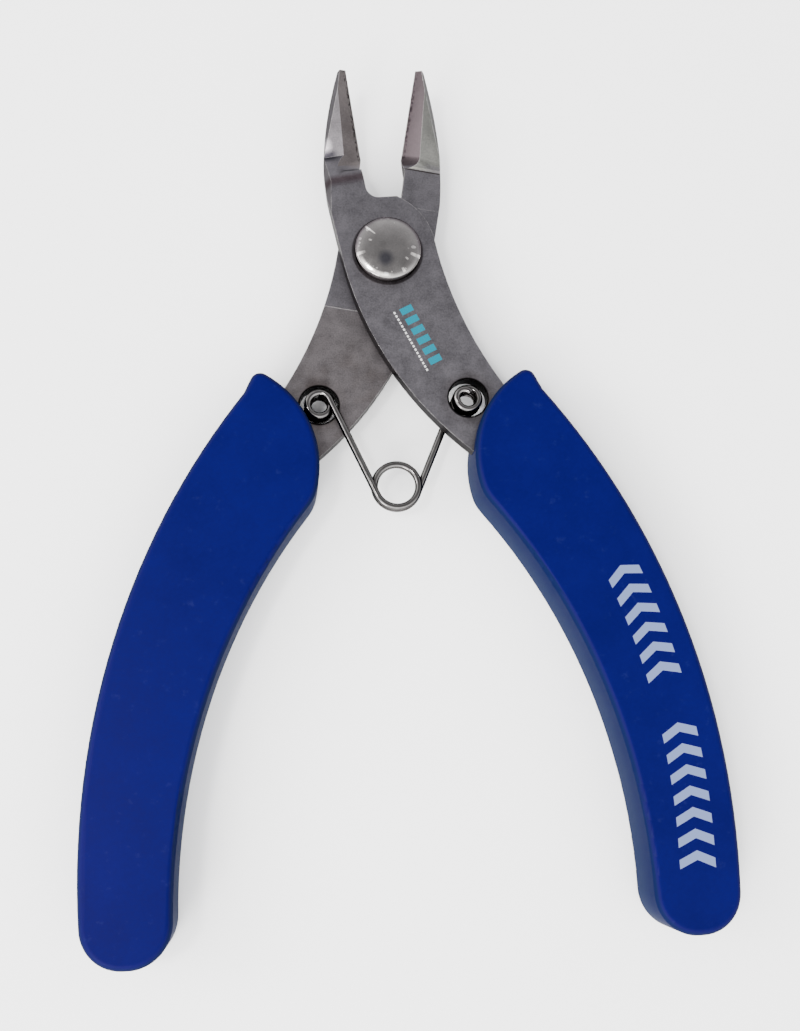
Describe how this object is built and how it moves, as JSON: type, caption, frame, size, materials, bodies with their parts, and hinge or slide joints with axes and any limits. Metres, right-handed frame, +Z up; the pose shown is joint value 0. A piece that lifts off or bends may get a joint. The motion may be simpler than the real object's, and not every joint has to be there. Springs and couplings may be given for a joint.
{
  "type": "sprue nippers",
  "caption": "Small lap-joint side cutters with bent flush-cutting jaws, a domed pivot rivet, a wire return spring and bowed plastic handle grips.",
  "frame": {"origin": "middle of the underside that the nippers lie on, at the middle of their plan", "axes": "+Y towards the jaws, +Z up, away from the surface that the nippers lie on and the way the head is bent"},
  "size_m": [0.084, 0.1216, 0.009],
  "materials": {
    "blade_steel": "ground, satin",
    "rear_blade_steel": "ground, satin, faintly oiled",
    "rivet_steel": "polished",
    "spring_steel": "bright drawn wire",
    "grip_plastic": "satin moulded"
  },
  "bodies": {
    "rear_half": {"rear_blade": "rear_blade_steel", "left_grip": "grip_plastic", "pivot_rivet": "rivet_steel"},
    "front_half": {"front_blade": "blade_steel", "right_grip": "grip_plastic"},
    "spring_left": {"spring_left": "spring_steel"},
    "spring_right": {"spring_right": "spring_steel"}
  },
  "joints": [
    {"name": "jaw_hinge", "type": "hinge", "parent": "rear_half", "child": "front_half", "pos_m": [0, 0.03338, 0.0045], "axis": [0, 0, -1], "range_deg": [0, 20.8], "stiffness_Nm_per_rad": 0.9},
    {"name": "spring_eye", "type": "hinge", "parent": "rear_half", "child": "spring_left", "pos_m": [-0.0103, 0.01158, 0.0045], "axis": [0, 0, -1], "range_deg": [0, 28.4]},
    {"name": "spring_coil", "type": "hinge", "parent": "spring_left", "child": "spring_right", "pos_m": [0, -0.00027, 0.0045], "axis": [0, 0, 1], "range_deg": [0, 36]}
  ],
  "couplings": [
    {"joint": "spring_eye", "follows": "jaw_hinge", "ratio": 1.3625},
    {"joint": "spring_coil", "follows": "jaw_hinge", "ratio": 1.725}
  ]
}
